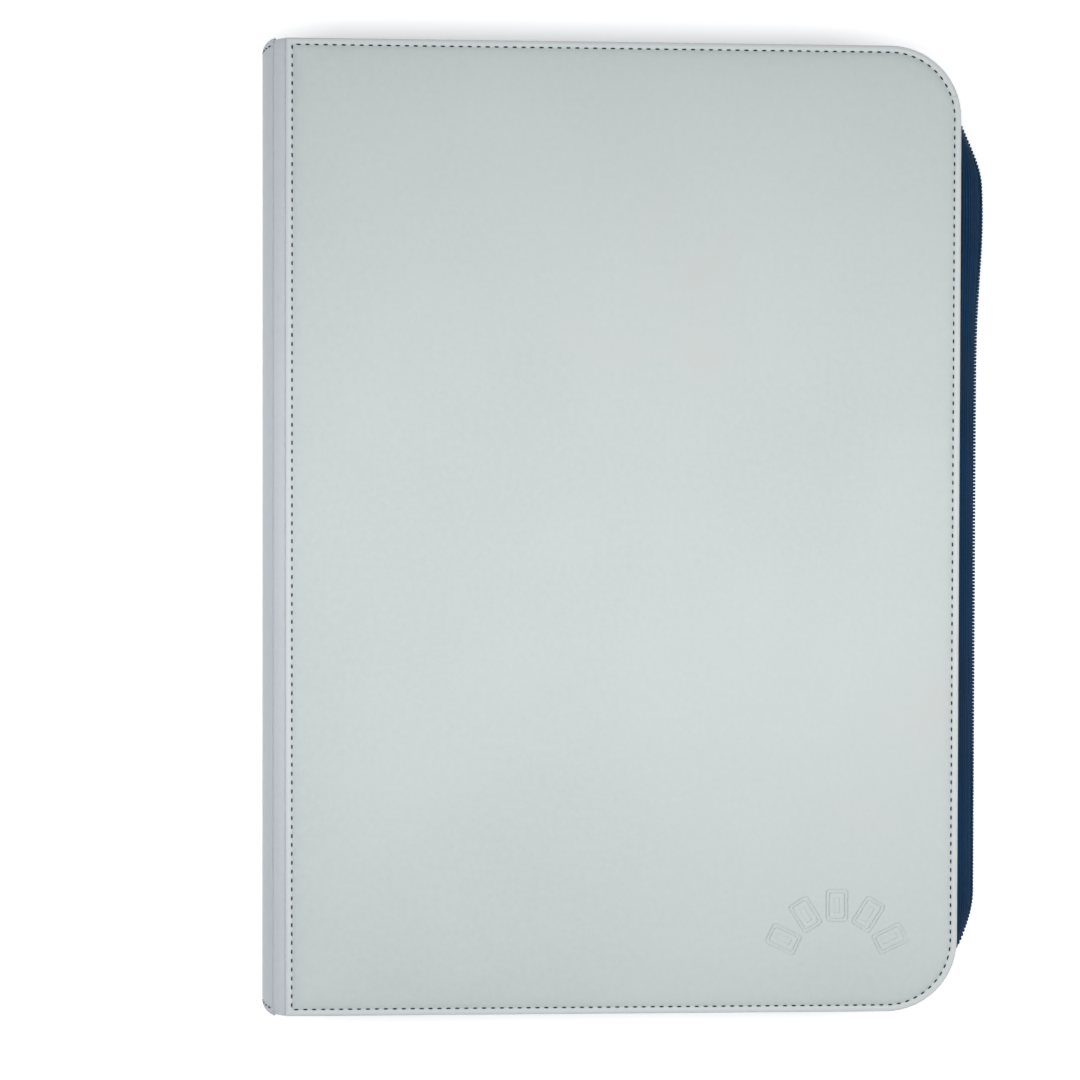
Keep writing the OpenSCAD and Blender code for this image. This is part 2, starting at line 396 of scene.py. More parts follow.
def leather(name, dark, middle, light, roughness):
    """Artificial leather with a fine grain, faint warm stains and a painted highlight: a paler band on the
    turned edge.
    """
    f = Finish(name, 0.5, Specular_IOR_Level=0.3)
    cloud = f.noise(9, 3)
    fine = f.noise(420, 4, 0.6)
    colour = f.ramp(cloud * 0.6 + fine * 0.4, [(0.25, dark), (0.5, middle), (0.78, light)])
    stain = f.ramp(f.noise(13, 4, 0.55), [(0.6, (0, 0, 0)), (0.7, (0.55, 0.55, 0.55))])
    warm = tinted(middle, (1.06, 0.985, 0.97))
    # Painted highlight: the turned edge outside the stitches is made paler, standing in for the light its
    # roll catches.
    turned = f.node("ShaderNodeAttribute", {"attribute_name": "turned_edge"}, {}, "Fac")
    pale = tinted(middle, (1.13, 1.07, 1.11))
    f.feed("Base Color", f.mix_colour(turned * 0.85, f.mix_colour(stain, colour, warm), pale))
    f.feed("Roughness", fine * 0.16 + roughness)
    grain = f.cells(1500) * 0.7 + f.noise(2600, 2) * 0.3
    return f.bump(grain, 0.22, 0.00012)


def cover_leather():
    """Pale cool grey."""
    dark, middle, light = (0.5, 0.553, 0.547), (0.54, 0.596, 0.588), (0.572, 0.63, 0.618)
    return leather("pale_grey_leather", dark, middle, light, 0.46)


def shaded_spine_leather():
    """The cover's leather a shade darker and more lavender: painted shade on the spine, its ends and the
    creases, which turn away from the lamps.
    """
    # Painted shade: darker copies of the cover's colours, for leather that faces away from the light
    dark, middle, light = (0.468, 0.497, 0.533), (0.498, 0.53, 0.567), (0.53, 0.563, 0.6)
    return leather("shaded_lavender_grey_leather", dark, middle, light, 0.44)


def thread():
    """Dark grey sewing thread, twisted."""
    f = Finish("dark_thread", 0.7, Specular_IOR_Level=0.25)
    twist = f.ribs(900, "DIAGONAL", 1.5)
    f.feed("Base Color", f.ramp(twist, [(0.2, (0.012, 0.016, 0.022)), (0.8, (0.04, 0.048, 0.06))]))
    return f.bump(twist, 0.4, 0.0001)


def woven_tape():
    """Navy zip tape, ribbed along its length."""
    f = Finish("navy_tape", 0.85, Specular_IOR_Level=0.04)
    ribs = f.ribs(330, "Z", 0.4)
    weft = f.cells(1400)
    shade = f.noise(40, 3)
    weave = ribs * 0.6 + weft * 0.4
    f.feed("Base Color", f.ramp(weave * 0.7 + shade * 0.3, [
        (0.2, (0.002, 0.012, 0.032)), (0.55, (0.005, 0.029, 0.072)), (0.85, (0.01, 0.05, 0.115))]))
    f.feed("Roughness", weft * 0.2 + 0.62)
    return f.bump(weave, 0.6, 0.0003)


def coil_nylon():
    """Navy nylon, a little paler and glossier than its tape."""
    f = Finish("navy_coil", 0.5, Specular_IOR_Level=0.2)
    shade = f.noise(260, 3)
    f.feed("Base Color", f.ramp(shade, [(0.3, (0.006, 0.032, 0.078)), (0.7, (0.014, 0.052, 0.115))]))
    f.feed("Roughness", shade * 0.25 + 0.38)
    return f.bump(f.noise(1500, 2), 0.2, 0.00008)


def lining_cloth():
    """Dark blue-black lining with a fine crossed weave."""
    f = Finish("dark_lining", 0.8, Sheen_Weight=0.15, Specular_IOR_Level=0.2)
    weave = f.ribs(900, "X") * 0.5 + f.ribs(900, "Y") * 0.5
    cloud = f.noise(20, 3)
    f.feed("Base Color", f.ramp(weave * 0.5 + cloud * 0.5, [
        (0.3, (0.006, 0.009, 0.016)), (0.7, (0.018, 0.024, 0.038))]))
    f.feed("Roughness", cloud * 0.15 + 0.72)
    return f.bump(weave, 0.4, 0.0002)


def binding_cloth():
    """Black binding tape, ribbed across."""
    f = Finish("black_binding", 0.75, Sheen_Weight=0.2, Specular_IOR_Level=0.2)
    ribs = f.ribs(520, "Y", 0.3)
    f.feed("Base Color", f.ramp(ribs * 0.7 + f.noise(120, 3) * 0.3, [
        (0.2, (0.006, 0.007, 0.01)), (0.8, (0.024, 0.027, 0.036))]))
    return f.bump(ribs, 0.5, 0.0002)


def foam():
    """Off-white open-cell foam."""
    f = Finish("foam", 0.9, Specular_IOR_Level=0.15)
    cells = f.cells(800)
    f.feed("Base Color", f.ramp(cells, [(0.1, (0.55, 0.53, 0.44)), (0.6, (0.83, 0.81, 0.73))]))
    return f.bump(cells, 0.8, 0.0004)


def fibre_board():
    """Grey-brown pressed board with flecks."""
    f = Finish("fibre_board", 0.85, Specular_IOR_Level=0.2)
    flecks = f.noise(600, 5, 0.75)
    f.feed("Base Color", f.ramp(flecks, [
        (0.35, (0.2, 0.16, 0.11)), (0.5, (0.33, 0.26, 0.18)), (0.7, (0.42, 0.35, 0.26))]))
    return f.bump(flecks, 0.4, 0.0002)


def charcoal_sheet():
    """Charcoal plastic sheet, finely frosted."""
    f = Finish("charcoal_sheet", 0.5, Specular_IOR_Level=0.4)
    grain = f.noise(900, 3)
    cloud = f.noise(12, 3)
    f.feed("Base Color", f.ramp(grain * 0.4 + cloud * 0.6, [
        (0.3, (0.011, 0.011, 0.013)), (0.7, (0.026, 0.027, 0.03))]))
    f.feed("Roughness", grain * 0.2 + 0.42)
    return f.bump(grain, 0.2, 0.0001)


def clear_film():
    """Soft clear film that shows mostly as gloss."""
    f = Finish("clear_film", 0.12, Specular_IOR_Level=0.6, Coat_Weight=0.4, Coat_Roughness=0.08)
    ripple = f.noise(26, 2)
    f.feed("Base Color", f.ramp(ripple, [(0.3, (0.3, 0.32, 0.34)), (0.7, (0.46, 0.48, 0.51))]))
    f.shader.inputs["Alpha"].default_value = 0.08
    f.feed("Roughness", ripple * 0.16 + 0.06)
    return f.bump(ripple, 0.25, 0.002)


def weld_film():
    """Film melted into the sheet: a paler, milky dot."""
    f = Finish("weld_film", 0.3, Specular_IOR_Level=0.5)
    haze = f.noise(700, 2)
    f.feed("Base Color", f.ramp(haze, [(0.3, (0.05, 0.052, 0.06)), (0.7, (0.12, 0.125, 0.135))]))
    return f.bump(haze, 0.2, 0.0001)


def dark_metal():
    """Painted die-cast metal, worn brighter in spots."""
    f = Finish("dark_metal", 0.34, Metallic=0.85, Specular_IOR_Level=0.5)
    wear = f.noise(380, 4, 0.65)
    f.feed("Base Color", f.ramp(wear, [
        (0.4, (0.12, 0.125, 0.135)), (0.62, (0.2, 0.205, 0.215)), (0.75, (0.42, 0.42, 0.43))]))
    f.feed("Roughness", wear * 0.3 + 0.2)
    return f.bump(wear, 0.12, 0.00005)


def pull_rubber():
    """Matt black rubber with a faint bloom."""
    f = Finish("pull_rubber", 0.62, Specular_IOR_Level=0.35)
    bloom = f.noise(160, 4, 0.6)
    f.feed("Base Color", f.ramp(bloom, [(0.35, (0.008, 0.008, 0.01)), (0.7, (0.022, 0.022, 0.025))]))
    f.feed("Roughness", bloom * 0.2 + 0.52)
    return f.bump(f.noise(1800, 2), 0.25, 0.00008)


LEATHER, SHADED_SPINE_LEATHER, THREAD, TAPE, COIL = (
    cover_leather(), shaded_spine_leather(), thread(), woven_tape(), coil_nylon())
LINING, BINDING, FOAM, BOARD = lining_cloth(), binding_cloth(), foam(), fibre_board()
SHEET, FILM, WELD, METAL, RUBBER = (
    charcoal_sheet(), clear_film(), weld_film(), dark_metal(), pull_rubber())


# ---------------------------------------------------------------- camera, light and floor


def studio():
    """Camera over the front cover, a long lamp, two soft lamps and a pale floor."""
    distance = 0.53
    lean, nod, roll = math.radians(1.9), math.radians(-0.64), math.radians(0.17)
    floor_reach, floor_z = 30, -0.2 * MM
    target = Vector(((CREASE_X + EDGE_X) / 2, MIDDLE_Y, TOP_Z))
    data = bpy.data.cameras.new("camera")
    camera = bpy.data.objects.new("camera", data)
    bpy.context.scene.collection.objects.link(camera)
    camera.matrix_world = (
        Matrix.Translation(target)
        @ Matrix.Rotation(-lean, 4, "Y")
        @ Matrix.Rotation(nod, 4, "X")
        @ Matrix.Rotation(roll, 4, "Z")
        @ Matrix.Translation((0, 0, distance))
    )
    data.sensor_width = 36
    data.lens = 49.28
    data.shift_x = -0.0786
    data.shift_y = -0.0096
    bpy.context.scene.camera = camera

    # The key is long and close, so its light falls off towards head and foot
    for name, place, size, power in (
        ("key_light", (target.x, -0.02, TOP_Z + 0.4), (0.9, 0.12), 1.85),
        ("side_light", (0.9, -0.7, 0.9), (1.0, 1.0), 1.8),
        ("fill_light", (-0.9, 0.3, 1.3), (1.2, 1.2), 1.8),
    ):
        bpy.ops.object.light_add(type="AREA", location=place)
        light = bpy.context.active_object
        light.name = name
        light.visible_camera = False
        light.data.shape = "RECTANGLE"
        light.data.size, light.data.size_y = size
        light.data.energy = power
        aim = Vector((place[0], place[1], 0)) if name == "key_light" else target
        light.rotation_euler = (aim - Vector(place)).to_track_quat("-Z", "Y").to_euler()

    world = bpy.data.worlds.new("studio")
    world.use_nodes = True
    background = world.node_tree.nodes["Background"]
    background.inputs["Color"].default_value = (0.97, 0.98, 1.0, 1)
    background.inputs["Strength"].default_value = 0.36
    bpy.context.scene.world = world

    floor = plane("floor", (-floor_reach, -floor_reach), (floor_reach, floor_reach), floor_z)
    f = Finish("pale_floor", 0.9, Specular_IOR_Level=0.1, Emission_Strength=0.4)
    f.shader.inputs["Emission Color"].default_value = (1, 1, 1, 1)
    f.feed("Base Color", f.ramp(f.noise(3, 2), [(0.3, (0.93, 0.93, 0.93)), (0.7, (0.95, 0.95, 0.95))]))
    f.coat(floor)
    bpy.context.scene.view_settings.view_transform = "Standard"


studio()


# ---------------------------------------------------------------- outlines round the cover


def outline(inset):
    """Points all round a cover, inset from its edge: foot run, fore-edge, head run and crease."""
    x0, y0, y1 = CREASE_X + inset, FOOT_Y + inset, HEAD_Y - inset
    cx, r = EDGE_X - CORNER_R, CORNER_R - inset
    points = [Vector((x0, y0, 0))]
    for cy, first in ((FOOT_Y + CORNER_R, -90), (HEAD_Y - CORNER_R, 0)):
        for i in range(CORNER_STEPS + 1):
            a = math.radians(first + 90 * i / CORNER_STEPS)
            points.append(Vector((cx + r * math.cos(a), cy + r * math.sin(a), 0)))
    return points + [Vector((x0, y1, 0)), points[0].copy()]


def walk(points, pitch):
    """Evenly spaced stations along the points: each a place and a direction."""
    lengths = [(b - a).length for a, b in zip(points, points[1:])]
    total = sum(lengths)
    count = round(total / pitch)
    stations, leg, done = [], 0, 0.0
    for i in range(count):
        s = (i + 0.5) * total / count
        while leg < len(lengths) - 1 and done + lengths[leg] < s:
            done += lengths[leg]
            leg += 1
        step = points[leg + 1] - points[leg]
        stations.append((points[leg] + step * ((s - done) / lengths[leg]), step.normalized()))
    return stations


def facing(place, along, up=Vector((0, 0, 1))):
    """A matrix with X along a direction and Z towards up."""
    side = up.cross(along).normalized()
    top = along.cross(side).normalized()
    m = Matrix((along, side, top)).transposed().to_4x4()
    m.translation = place
    return m


def stitch():
    """One stitch, along X: a short fat thread that thins towards both ends."""
    bpy.ops.mesh.primitive_uv_sphere_add(segments=6, ring_count=5, radius=1, rotation=(0, math.pi / 2, 0))
    piece = named("stitch")
    settle(piece)
    piece.scale = STITCH_SIZE
    return settle(piece)


# ---------------------------------------------------------------- covers

# The padded face of a cover and the foam under it, in millimetres: how far in from the cover's
# edge, and the height from its crown
PADDING = (
    (0.12, -2.25), (0.35, -1.9), (0.8, -1.66), (1.4, -1.58), (1.9, -1.66), (2.3, -1.94),
    (2.6, -2.06), (2.9, -1.94), (3.5, -1.62), (4.6, -1.3), (6.5, -1.0), (9.0, -0.74),
    (12.5, -0.49), (16.5, -0.27), (20.5, -0.1), (24.5, 0.0))
FOAM_PROFILE = (
    (5.4, -1.95), (6.5, -1.78), (9.0, -1.52), (12.5, -1.27), (16.5, -1.05), (20.5, -0.9), (24.5, -0.82))
WALL_TOP = -2.8
RIM_TOP = -1.6 * MM
VALLEY_Z = -1.93 * MM


def raise_rings(inset, height, profile):
    """Insets the selected face ring by ring, to the profile's places."""
    for next_inset, next_height in profile:
        bpy.ops.mesh.inset(
            thickness=(next_inset - inset) * MM, depth=(next_height - height) * MM, use_boundary=True
        )
        inset, height = next_inset, next_height


def cover_foam(name):
    """The foam between the front cover's board and its skin, thinning out towards the edge."""
    first_inset, first_height = FOAM_PROFILE[0]
    edge = first_inset * MM
    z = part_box("front_cover_foam")[0].z
    piece = plane(name, (CREASE_X + edge, FOOT_Y + edge), (EDGE_X - edge, HEAD_Y - edge), z)
    round_corners(piece, lambda co: co.x > 0, CORNER_R - edge, CORNER_STEPS)
    open_mesh(piece)
    extrude(0, 0, TOP_Z + first_height * MM - z)
    raise_rings(first_inset, first_height, FOAM_PROFILE[1:])
    close_mesh()
    return smooth(face_out(piece), 40)


def rim_joint(name):
    """The low ridge where the two ends of the turned rim meet, near the head corner."""
    angle = math.radians(18)
    half_length, half_width, height = 1.25 * MM, 0.2 * MM, 0.16 * MM
    out = Vector((math.cos(angle), math.sin(angle), 0))
    bpy.ops.mesh.primitive_uv_sphere_add(segments=12, ring_count=8, radius=1)
    piece = named(name)
    piece.scale = (half_length, half_width, height)
    settle(piece)
    centre = Vector((EDGE_X - CORNER_R, HEAD_Y - CORNER_R, TOP_Z + RIM_TOP))
    piece.data.transform(facing(centre + out * (CORNER_R - half_length), out))
    return smooth(piece)


def padded_cover(name):
    """The front cover's skin: a tray with a rolled rim, a sewn valley and a padded face."""
    base = TOP_Z - COVER_T
    piece = plane(name, (CREASE_X, FOOT_Y), (EDGE_X, HEAD_Y), base)
    round_corners(piece, lambda co: co.x > 0, CORNER_R, CORNER_STEPS)
    open_mesh(piece)
    extrude(0, 0, COVER_T + WALL_TOP * MM)
    raise_rings(0.0, WALL_TOP, PADDING)
    close_mesh()
    points = piece.data.vertices
    near_base = base + 0.01 * MM
    open_where(piece, "FACE", lambda p: all(points[v].co.z < near_base for v in p.vertices))
    bpy.ops.mesh.delete(type="ONLY_FACE")
    close_mesh()
    face_out(piece)
    return modify(piece, "SOLIDIFY", thickness=SKIN_T * 0.9, offset=-1, use_even_offset=False)


def mark_painted_rim_highlight(piece):
    """Marks the turned edge, outside the stitches, where the leather gets a painted highlight: a paler
    band for the light caught by the rolled rim.
    """
    highlight_w = STITCH_INSET - 0.4 * MM
    # The mask of the painted highlight on the turned edge
    edge = piece.data.attributes.new("turned_edge", "FLOAT", "POINT")
    for vertex, mark in zip(piece.data.vertices, edge.data):
        out = EDGE_X - vertex.co.x
        end = min(vertex.co.y - FOOT_Y, HEAD_Y - vertex.co.y)
        if max(out, end) < CORNER_R:
            inset = CORNER_R - math.hypot(CORNER_R - out, CORNER_R - end)
        else:
            inset = min(out, end, vertex.co.x - CREASE_X)
        mark.value = 1.0 if inset < highlight_w else 0.0


def card_stamp(angle, inner, width, height, line):
    """A card turned by angle about the fan's foot: a ring as wide as the line or, without one, solid."""
    corner, thickness = 0.17 * width, 3 * MM
    piece = plane("card", (-width / 2, inner), (width / 2, inner + height), 0)
    round_corners(piece, lambda co: True, corner, 4)
    open_mesh(piece)
    if line:
        bpy.ops.mesh.inset(thickness=line)
        bpy.ops.mesh.delete(type="FACE")
        bpy.ops.mesh.select_all(action="SELECT")
    extrude(0, 0, thickness)
    close_mesh()
    face_out(piece)
    piece.rotation_euler = (0, 0, angle)
    return settle(piece)


def press_emblem(piece):
    """Presses a fan of five plain cards into the padded face: two outlines and a bar on each."""
    foot_x, foot_y, turn = 77 * MM, -157 * MM, math.radians(32)
    depth, inner, width, height = 0.3 * MM, 15.5 * MM, 8.3 * MM, 12 * MM
    cards = []
    for i in range(-2, 3):
        for step, line in ((0, 0.5 * MM), (1.15 * MM, 0.45 * MM), (3.1 * MM, None)):
            cards.append(card_stamp(-turn * i, inner + step, width - 2 * step, height - 2 * step, line))
    stamp = joined("stamp", cards)
    stamp.location = ((CREASE_X + EDGE_X) / 2 + foot_x, MIDDLE_Y + foot_y, TOP_Z - depth)
    settle(stamp)
    modify(piece, "BOOLEAN", operation="DIFFERENCE", solver="EXACT", object=stamp)
    bpy.data.objects.remove(stamp)


def cover_stitches(name):
    """The line of stitches in the valley, all round."""
    valley = Vector((0, 0, TOP_Z + VALLEY_Z))
    places = [
        facing(place + valley, along) for place, along in walk(outline(STITCH_INSET), STITCH_PITCH)
    ]
    return repeated(stitch(), name, places)


def covers():
    """Both covers' skins, foams and stitches. The back ones are the front ones turned over."""
    front = padded_cover("front_cover_leather")
    back = turned_over(front, "back_cover_leather")
    press_emblem(front)
    front_foam = cover_foam("front_cover_foam_pad")
    back_foam = turned_over(front_foam, "back_cover_foam_pad")
    for foam_pad, body in ((front_foam, "front_cover"), (back_foam, "back_cover")):
        FOAM.coat(foam_pad)
        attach(foam_pad, body)
        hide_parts(f"{body}_foam")
    joint = rim_joint("front_cover_rim_joint")
    LEATHER.coat(joint)
    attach(joint, "front_cover")
    front_thread = cover_stitches("front_cover_stitches")
    back_thread = turned_over(front_thread, "back_cover_stitches")
    for skin, stitches, body, node in (
        (front, front_thread, "front_cover", "front_cover_skin"),
        (back, back_thread, "back_cover", "back_cover_skin"),
    ):
        smooth(skin, 38)
        # The turned edge gets a painted highlight
        mark_painted_rim_highlight(skin)
        LEATHER.coat(skin)
        THREAD.coat(stitches)
        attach(skin, body)
        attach(stitches, body)
        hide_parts(node)


covers()


# ---------------------------------------------------------------- spine and creases


SPINE_HALF = MID_Z - 0.3 * MM
SPINE_APEX = SPINE_LOW.x
SPINE_RISE = CREASE_X - 2 * MM - SPINE_APEX
SPINE_R = (SPINE_HALF ** 2 + SPINE_RISE ** 2) / (2 * SPINE_RISE)
SPINE_CX = SPINE_APEX + SPINE_R
SPINE_REACH = math.asin((SPINE_HIGH.z - SPINE_LOW.z) / 2 / SPINE_R)


def spine_point(turn, y, r):
    """A point r from the spine's centre line. Turn is its angle from the middle of the spine."""
    return Vector((SPINE_CX - r * math.cos(turn), y, MID_Z + r * math.sin(turn)))


def spine_skin():
    """The rounded skin, rolled in at head and foot, with a dip under the stitches."""
    roll, tuck_depth = 2.2 * MM, 0.9 * MM
    dip_depth, dip_w = 0.35 * MM, 0.5 * MM
    gather = 0.14

    def place(u, v):
        # Rows gather at the two ends, where the skin rolls in and dips
        v -= gather * math.sin(2 * math.pi * v)
        y = FOOT_Y + v * (HEAD_Y - FOOT_Y)
        end = min(y - FOOT_Y, HEAD_Y - y)
        tuck = tuck_depth * max(0, 1 - end / roll) ** 2
        dip = dip_depth * math.exp(-((end - STITCH_INSET) / dip_w) ** 2)
        return spine_point(SPINE_REACH * (2 * u - 1), y, SPINE_R - tuck - dip)

    skin = bent_grid("shaded_spine_leather", 32, 220, place)
    face_along(skin, -1, 0, 0)
    modify(skin, "SOLIDIFY", thickness=SKIN_T, offset=-1)
    return smooth(skin, 50)


def spine_stitches():
    """A row of stitches round each end."""
    places = []
    count, row_reach, sunk = 11, 0.93 * SPINE_REACH, 0.2 * MM
    for y in (FOOT_Y + STITCH_INSET, HEAD_Y - STITCH_INSET):
        for i in range(count):
            turn = row_reach * (2 * (i + 0.5) / count - 1)
            out = Vector((-math.cos(turn), 0, math.sin(turn)))
            along = Vector((math.sin(turn), 0, math.cos(turn)))
            places.append(facing(spine_point(turn, y, SPINE_R - sunk), along, out))
    return repeated(stitch(), "spine_stitches", places)


def spine_pad():
    """The foam between the spine's board and its skin."""
    pad_reach, end_inset, gap = 0.9 * SPINE_REACH, 3 * MM, 0.05 * MM

    def place(u, v):
        y = FOOT_Y + end_inset + v * (HEAD_Y - FOOT_Y - 2 * end_inset)
        return spine_point(pad_reach * (2 * u - 1), y, SPINE_R - SKIN_T - gap)

    pad = bent_grid("spine_foam", 20, 12, place)
    open_mesh(pad)
    extrude(1 * MM, 0, 0)
    close_mesh()
    for vertex in pad.data.vertices:
        if vertex.select:
            vertex.co.x = max(vertex.co.x, BOARD_X)
    return smooth(face_out(pad), 50)


def spine_end(y):
    """The leather turned in over one end, from the rounded skin to the lining."""
    end_reach, r = 0.97 * SPINE_REACH, SPINE_R - 0.35 * MM
    inner_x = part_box("spine_lining")[1].x

    def place(u, v):
        point = spine_point(end_reach * (2 * u - 1), y, r)
        point.x += v * (inner_x - point.x)
        return point

    end = bent_grid("spine_end", 24, 6, place)
    return modify(end, "SOLIDIFY", thickness=0.6 * MM, offset=0)


def spine_end_caps():
    cap_inset = 1.5 * MM
    caps = joined("spine_end_leather", [spine_end(y) for y in (FOOT_Y + cap_inset, HEAD_Y - cap_inset)])
    return smooth(face_out(caps), 50)


def spine():
    """Everything on the spine but its creases."""
    skin, threads, pad, caps = spine_skin(), spine_stitches(), spine_pad(), spine_end_caps()
    # The spine and its end caps take the leather with painted shade
    SHADED_SPINE_LEATHER.coat(skin, caps)
    THREAD.coat(threads)
    FOAM.coat(pad)
    for piece in (skin, caps, threads, pad):
        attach(piece, "spine")
        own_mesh(piece)
    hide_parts("spine_skin")
    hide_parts("spine_padding")


def front_crease():
    """The strip of skin from the spine's edge over the fold to the front cover's groove."""
    z0 = SPINE_HIGH.z
    x0 = SPINE_CX - math.sqrt(SPINE_R ** 2 - (z0 - MID_Z) ** 2)
    rim = TOP_Z + RIM_TOP
    taper = 0.9 * MM
    profile = [
        (x0, z0), (x0 + 0.9 * MM, z0 + 0.42 * MM), (x0 + 2.0 * MM, z0 + 0.72 * MM),
        (CREASE_X - 1.7 * MM, rim - 0.06 * MM), (CREASE_X - 1.0 * MM, rim - 0.04 * MM),
        (CREASE_X - 0.5 * MM, rim - 0.16 * MM), (CREASE_X - 0.1 * MM, rim - 0.36 * MM),
        (CREASE_X + 0.3 * MM, rim - 0.55 * MM)]
    last = len(profile) - 1

    def place(u, v):
        x, z = profile[round(u * last)]
        end = taper * (1 - u) ** 1.5
        return Vector((x, FOOT_Y + end + v * (HEAD_Y - FOOT_Y - 2 * end), z))

    piece = bent_grid("front_crease_leather", last, 60, place)
    face_along(piece, 0, 0, 1)
    modify(piece, "SOLIDIFY", thickness=0.6 * MM, offset=-1)
    modify(piece, "SUBSURF", levels=1, render_levels=1)
    return smooth(piece, 60)


def creases():
    """Both folds: a strip of leather with its lining close under it."""
    lining_x, lining_z = 0.3 * MM, 0.65 * MM
    front = front_crease()
    back = turned_over(front, "back_crease_leather")
    for piece, node, other, z, inward in (
        (front, "front_crease", "front_cover", TOP_Z, -1),
        (back, "back_crease", "back_cover", 0, 1),
    ):
        # The creases take the leather with painted shade
        SHADED_SPINE_LEATHER.coat(piece)
        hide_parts(node)
        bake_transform(piece)
        step = Matrix.Translation((lining_x, 0, inward * lining_z))
        lining = copy_of(piece, f"{node}_lining", step)
        LINING.coat(lining)
        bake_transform(lining)


spine()
creases()


# ---------------------------------------------------------------- gusset and zip

# The same way round the cover, and the same bulge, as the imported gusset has
RUN_START = CREASE_X + 10 * MM
RUN_L = EDGE_X - CORNER_R - RUN_START
ARC_L = CORNER_R * math.pi / 2
SIDE_L = HEAD_Y - FOOT_Y - 2 * CORNER_R
ZIP_L = 2 * RUN_L + 2 * ARC_L + SIDE_L
TAPE_REACH = 8.2 * MM
ROOT_INSET = 2.6 * MM
END_INSET = 1.2 * MM
SIDE_BULGE, HEAD_BULGE = 9.2 * MM, 2.2 * MM
HUMP_Y, HUMP_W = 116 * MM, 30 * MM
HEAD_FADE_Y, FOOT_FADE_Y, FADE_L = 168 * MM, -175 * MM, 40 * MM
COIL_PITCH = 1.3 * MM
COIL_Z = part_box("zip_coil_lower")[0].z + 1.35 * MM


def ease(t):
    """0 up to t = 0, 1 from t = 1, and a smooth rise between."""
    t = min(1, max(0, t))
    return t * t * (3 - 2 * t)


def bulge(y):
    """How far the zip stands out past the cover's edge."""
    h = y - MIDDLE_Y
    hump = math.exp(-((h - HUMP_Y) / HUMP_W) ** 2)
    fade = ease((HEAD_FADE_Y - h) / FADE_L) * ease((h - FOOT_FADE_Y) / FADE_L)
    return fade * (END_INSET + SIDE_BULGE + HEAD_BULGE * hump) - END_INSET


def zip_station(s):
    """Place on the cover's edge and the outward angle, s metres along the zip from the head end."""
    cx, foot_cy, head_cy = EDGE_X - CORNER_R, FOOT_Y + CORNER_R, HEAD_Y - CORNER_R
    if s <= RUN_L:
        return RUN_START + s, HEAD_Y, math.pi / 2
    s -= RUN_L
    if s <= ARC_L:
        a = math.pi / 2 - s / CORNER_R
        return cx + CORNER_R * math.cos(a), head_cy + CORNER_R * math.sin(a), a
    s -= ARC_L
    if s <= SIDE_L:
        return EDGE_X, head_cy - s, 0.0
    s -= SIDE_L
    if s <= ARC_L:
        a = -s / CORNER_R
        return cx + CORNER_R * math.cos(a), foot_cy + CORNER_R * math.sin(a), a
    s -= ARC_L
    return cx - s, FOOT_Y, -math.pi / 2


def zip_point(s, out, z):
    """A point at height z, out from the cover's edge."""
    x, y, a = zip_station(s)
    return Vector((x + out * math.cos(a), y + out * math.sin(a), z))


def puckering(s):
    """How much the tape gathers: most at the two corners."""
    head_corner, foot_corner, reach = RUN_L + ARC_L / 2, RUN_L + 1.5 * ARC_L + SIDE_L, 26 * MM
    return sum(math.exp(-((s - middle) / reach) ** 2) for middle in (head_corner, foot_corner))


def gusset_tape():
    """The back cover's half of the gusset, from its sewn root up to the coil."""
    rise = MID_Z - COVER_T
    top = (17.0 * MM - COVER_T) / rise
    pucker_depth, pucker_scale, slack = 0.28 * MM, 1.5 * MM, 0.12 * MM
    wave_depth, wave_scale, wave_start = 0.1 * MM, 17 * MM, 1.3
    rib_depth, ribs = 0.045 * MM, 9
    set_in = 0.1 * MM

    def place(u, v):
        s = v * (ZIP_L + 2 * TAPE_REACH) - TAPE_REACH
        t = u * top
        b = bulge(zip_station(s)[1])
        out = -ROOT_INSET + (b + ROOT_INSET) * (1 - (1 - t) ** 2)
        swell = math.sin(math.pi * u)
        out += swell * (pucker_depth * puckering(s) * math.sin(s / pucker_scale) - slack)
        out += swell * wave_depth * math.sin(s / wave_scale + wave_start)
        out += rib_depth * math.sin(u * ribs * 2 * math.pi)
        return zip_point(s, out - set_in, COVER_T + t * rise)

    tape = bent_grid("gusset_lower_tape", 28, 460, place)
    middle = Vector(((CREASE_X + EDGE_X) / 2, MIDDLE_Y, 0))
    outward = sum(p.normal.dot((p.center - middle).normalized()) for p in tape.data.polygons)
    if outward < 0:
        flip_faces(tape)
    modify(tape, "SOLIDIFY", thickness=0.6 * MM, offset=-1)
    return smooth(tape, 60)


def coil_tooth():
    """One turn of the coil: a flattened loop of nylon."""
    bpy.ops.mesh.primitive_torus_add(
        major_segments=10, minor_segments=5, major_radius=1, minor_radius=0.32,
        rotation=(0, math.pi / 2, 0))
    tooth = named("coil_tooth")
    settle(tooth)
    tooth.scale = (1.5 * MM, 0.6 * MM, 1.2 * MM)
    return settle(tooth)


def coil_row(name, shift):
    """A row of coil turns, each square to the zip's way. Shift is in pitches."""
    count = int(ZIP_L / COIL_PITCH) - 1
    first, set_in = 0.75, 0.15 * MM
    places = []
    for i in range(count):
        s = (i + first + shift) * COIL_PITCH
        _, y, a = zip_station(s)
        along = Vector((math.sin(a), -math.cos(a), 0))
        places.append(facing(zip_point(s, bulge(y) - set_in, COIL_Z), along))
    return repeated(coil_tooth(), name, places)


